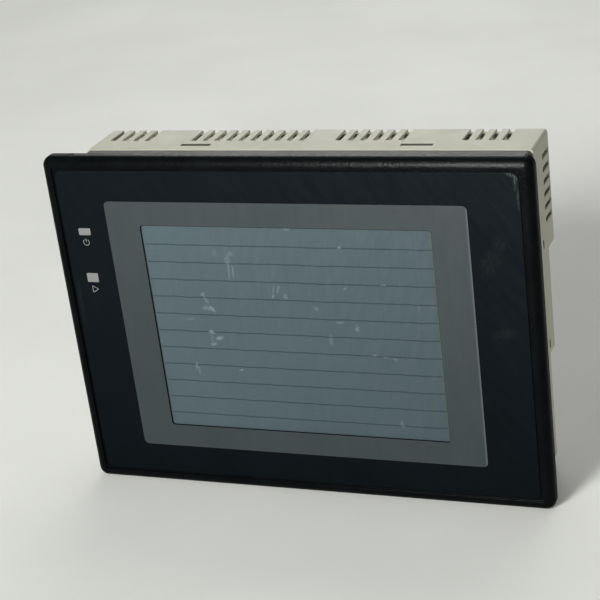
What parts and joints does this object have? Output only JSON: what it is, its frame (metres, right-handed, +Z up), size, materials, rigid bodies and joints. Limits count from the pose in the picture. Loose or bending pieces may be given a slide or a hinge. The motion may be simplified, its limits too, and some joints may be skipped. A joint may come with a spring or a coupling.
{
  "type": "hmi touch panel",
  "caption": "Panel-mounted operator terminal: dark bezel round a touch screen, stepped rear case with cooling slots, ports, power terminals and lift-off covers.",
  "frame": {"origin": "centre of the flange face that bears on the cabinet panel, on the middle lines of the bezel", "axes": "+X to the right as seen from the front, +Y backwards into the cabinet, +Z up; the screen faces -Y"},
  "size_m": [0.195, 0.054, 0.142],
  "materials": {
    "bezel_plastic": "satin black moulded plastic",
    "overlay_film": "satin dark overlay film",
    "surround_film": "satin grey printed film",
    "indicator_lens": "milky lens",
    "rubber": "soft black rubber",
    "touch_screen": "satin touch film on glass",
    "lcd": "grey-green screen glass",
    "flex_film": "amber flexible film",
    "sheet_steel": "plated sheet steel",
    "clear_acrylic": "polished acrylic",
    "lamp_glass": "coated lamp tube",
    "black_plastic": "moulded black plastic",
    "circuit_board": "solder-masked circuit board",
    "front_case_plastic": "dark grey moulded plastic",
    "case_plastic": "light grey-beige moulded plastic",
    "brass_post": "turned brass",
    "screw_steel": "zinc plated steel",
    "chip_resin": "moulded resin",
    "alloy": "extruded aluminium",
    "winding": "taped winding",
    "capacitor_sleeve": "shrink sleeve",
    "copper_coil": "enamelled copper",
    "lamp_lens": "clear green resin",
    "cell_sleeve": "printed sleeve, left blank",
    "contact_metal": "nickel plated spring steel",
    "connector_plastic": "ivory moulded plastic",
    "clear_cover": "clear moulded plastic",
    "port_shell": "tinned steel",
    "switch_red": "red moulded plastic",
    "lever_white": "white moulded plastic",
    "label_film": "blank silver-grey label"
  },
  "bodies": {
    "case": {"front_bezel": "bezel_plastic", "front_sheet": "overlay_film", "screen_surround": "surround_film", "power_window": "indicator_lens", "run_window": "indicator_lens", "panel_gasket": "rubber", "touch_panel": "touch_screen", "touch_tail": "flex_film", "lcd_frame": "sheet_steel", "lcd_glass": "lcd", "light_guide": "clear_acrylic", "backlight_lamp": "lamp_glass", "lamp_holders": "rubber", "lcd_board": "circuit_board", "lcd_cable": "flex_film", "front_case": "front_case_plastic", "shield_plate": "sheet_steel", "main_board": "circuit_board", "board_posts": "brass_post", "board_screws": "screw_steel", "processor_chip": "chip_resin", "heat_sink": "alloy", "memory_chips": "chip_resin", "transformer": "winding", "capacitors": "capacitor_sleeve", "inverter_board": "circuit_board", "inverter_coil": "copper_coil", "buzzer": "black_plastic", "indicator_board": "circuit_board", "indicator_lamps": "lamp_lens", "rear_case": "case_plastic", "case_screws": "screw_steel", "battery": "cell_sleeve", "battery_contacts": "contact_metal", "expansion_connector": "connector_plastic", "terminal_block": "black_plastic", "terminal_screws": "screw_steel", "port_board": "circuit_board", "serial_shell_a": "port_shell", "serial_shell_b": "port_shell", "serial_insert_a": "black_plastic", "serial_insert_b": "black_plastic", "jack_screws": "screw_steel", "printer_shell": "port_shell", "printer_insert": "black_plastic", "switch_board": "circuit_board", "dip_body": "switch_red", "reset_switch": "black_plastic", "rating_label": "label_film"},
    "battery_lid": {"battery_cover": "case_plastic"},
    "terminal_lid": {"terminal_cover": "clear_cover"},
    "expansion_lid": {"expansion_cover": "case_plastic"},
    "reset_key": {"reset_button": "switch_red"},
    "lever_1": {"dip_lever_1": "lever_white"},
    "lever_2": {"dip_lever_2": "lever_white"},
    "lever_3": {"dip_lever_3": "lever_white"},
    "lever_4": {"dip_lever_4": "lever_white"},
    "lever_5": {"dip_lever_5": "lever_white"},
    "lever_6": {"dip_lever_6": "lever_white"}
  },
  "joints": [
    {"name": "battery_cover_hinge", "type": "hinge", "parent": "case", "child": "battery_lid", "pos_m": [0.043, 0.0444, 0.0546], "axis": [1, 0, 0], "range_deg": [0, 100]},
    {"name": "terminal_cover_hinge", "type": "hinge", "parent": "case", "child": "terminal_lid", "pos_m": [0.067, 0.0365, -0.0335], "axis": [1, 0, 0], "range_deg": [0, 110]},
    {"name": "expansion_cover_lift", "type": "slide", "parent": "case", "child": "expansion_lid", "axis": [0, 1, 0], "range_m": [0, 0.02]},
    {"name": "reset_press", "type": "slide", "parent": "case", "child": "reset_key", "axis": [0, -1, 0], "range_m": [0, 0.001], "stiffness_N_per_m": 300},
    {"name": "lever_1_slide", "type": "slide", "parent": "case", "child": "lever_1", "axis": [1, 0, 0], "range_m": [0, 0.002]},
    {"name": "lever_2_slide", "type": "slide", "parent": "case", "child": "lever_2", "axis": [1, 0, 0], "range_m": [0, 0.002]},
    {"name": "lever_3_slide", "type": "slide", "parent": "case", "child": "lever_3", "axis": [1, 0, 0], "range_m": [0, 0.002]},
    {"name": "lever_4_slide", "type": "slide", "parent": "case", "child": "lever_4", "axis": [1, 0, 0], "range_m": [0, 0.002]},
    {"name": "lever_5_slide", "type": "slide", "parent": "case", "child": "lever_5", "axis": [1, 0, 0], "range_m": [0, 0.002]},
    {"name": "lever_6_slide", "type": "slide", "parent": "case", "child": "lever_6", "axis": [1, 0, 0], "range_m": [0, 0.002]}
  ]
}
